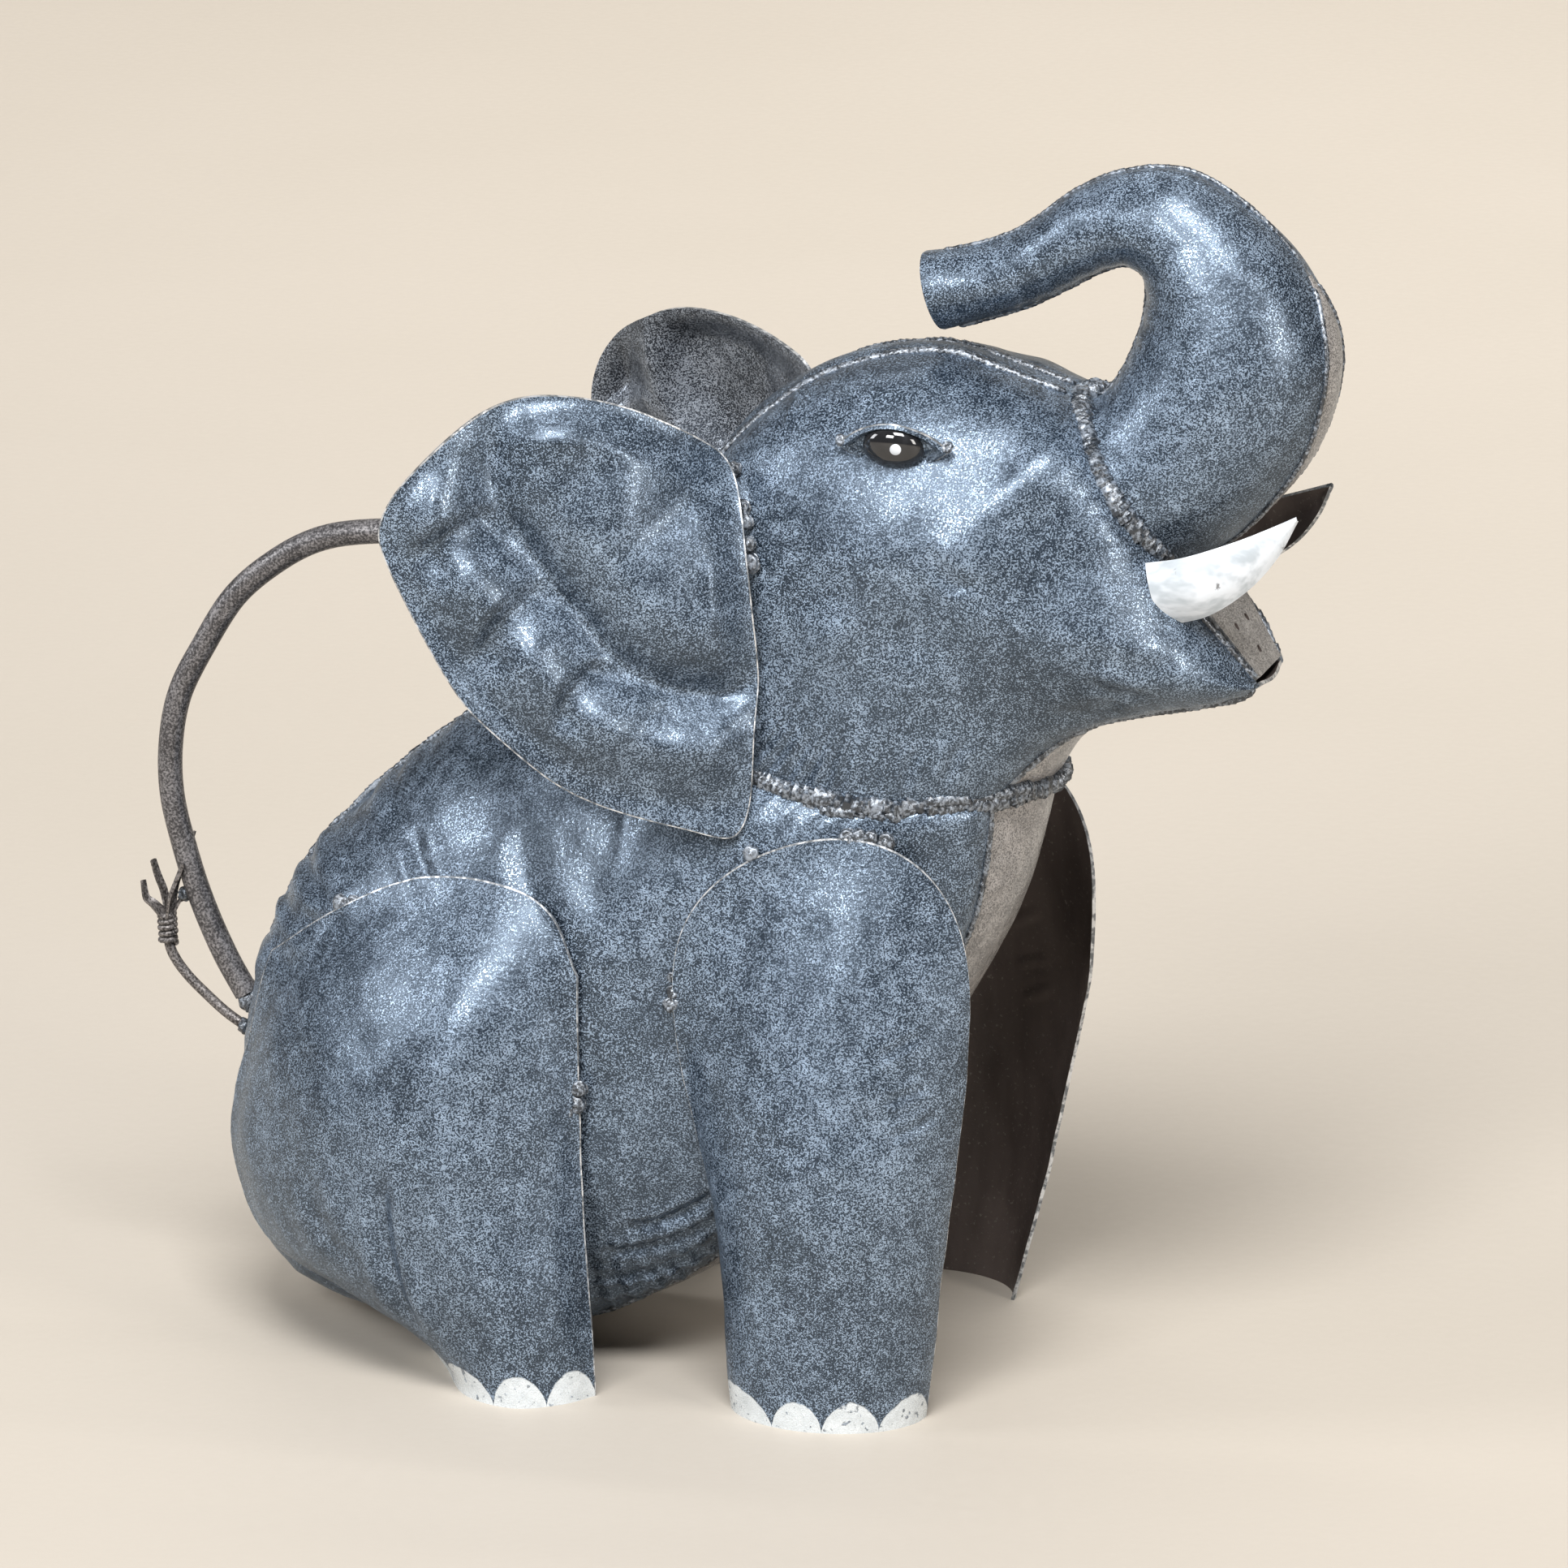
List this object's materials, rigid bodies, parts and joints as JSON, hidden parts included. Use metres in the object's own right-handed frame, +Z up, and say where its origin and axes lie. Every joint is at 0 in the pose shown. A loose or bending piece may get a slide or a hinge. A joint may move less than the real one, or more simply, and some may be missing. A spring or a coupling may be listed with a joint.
{
  "type": "elephant watering can",
  "caption": "Sitting elephant watering can, hollow and welded from formed sheet steel, with a loop handle at the back and a perforated mouth that pours.",
  "frame": {"origin": "on the floor plane under the middle of the part's bounding box", "axes": "+X towards the face and trunk, +Y to the animal's left, +Z up"},
  "size_m": [0.3382, 0.1721, 0.3358],
  "materials": {
    "graphite_paint": "satin, speckled",
    "weld_bead": "satin, rippled",
    "tusk_enamel": "brushed enamel",
    "eye_enamel": "gloss enamel",
    "tail_steel": "satin",
    "handle_paint": "satin",
    "rose_paint": "satin"
  },
  "bodies": {
    "root": {"body_right_panel": "graphite_paint", "body_left_panel": "graphite_paint", "chest_belly_strip": "graphite_paint", "head_right_panel": "graphite_paint", "head_left_panel": "graphite_paint", "crown_strip": "graphite_paint", "jaw_strip": "graphite_paint", "rose_plate": "rose_paint", "trunk_right_half": "graphite_paint", "trunk_left_half": "graphite_paint", "trunk_front_strip": "graphite_paint", "right_ear": "graphite_paint", "left_ear": "graphite_paint", "right_eye_plate": "graphite_paint", "left_eye_plate": "graphite_paint", "right_eye_dome": "eye_enamel", "left_eye_dome": "eye_enamel", "right_tusk": "tusk_enamel", "left_tusk": "tusk_enamel", "right_front_leg": "graphite_paint", "left_front_leg": "graphite_paint", "right_hind_leg": "graphite_paint", "left_hind_leg": "graphite_paint", "handle_tube": "handle_paint", "tail_rod": "tail_steel", "tail_binding": "tail_steel", "tail_tuft": "tail_steel", "neck_weld": "weld_bead", "trunk_base_weld": "weld_bead", "crown_welds": "weld_bead", "chest_welds": "weld_bead", "back_weld": "weld_bead", "jaw_welds": "weld_bead", "trunk_seam_welds": "weld_bead", "ear_tacks": "weld_bead", "front_leg_tacks": "weld_bead", "hind_leg_tacks": "weld_bead", "eye_tacks": "weld_bead", "tusk_tacks": "weld_bead", "handle_welds": "weld_bead"}
  },
  "joints": []
}
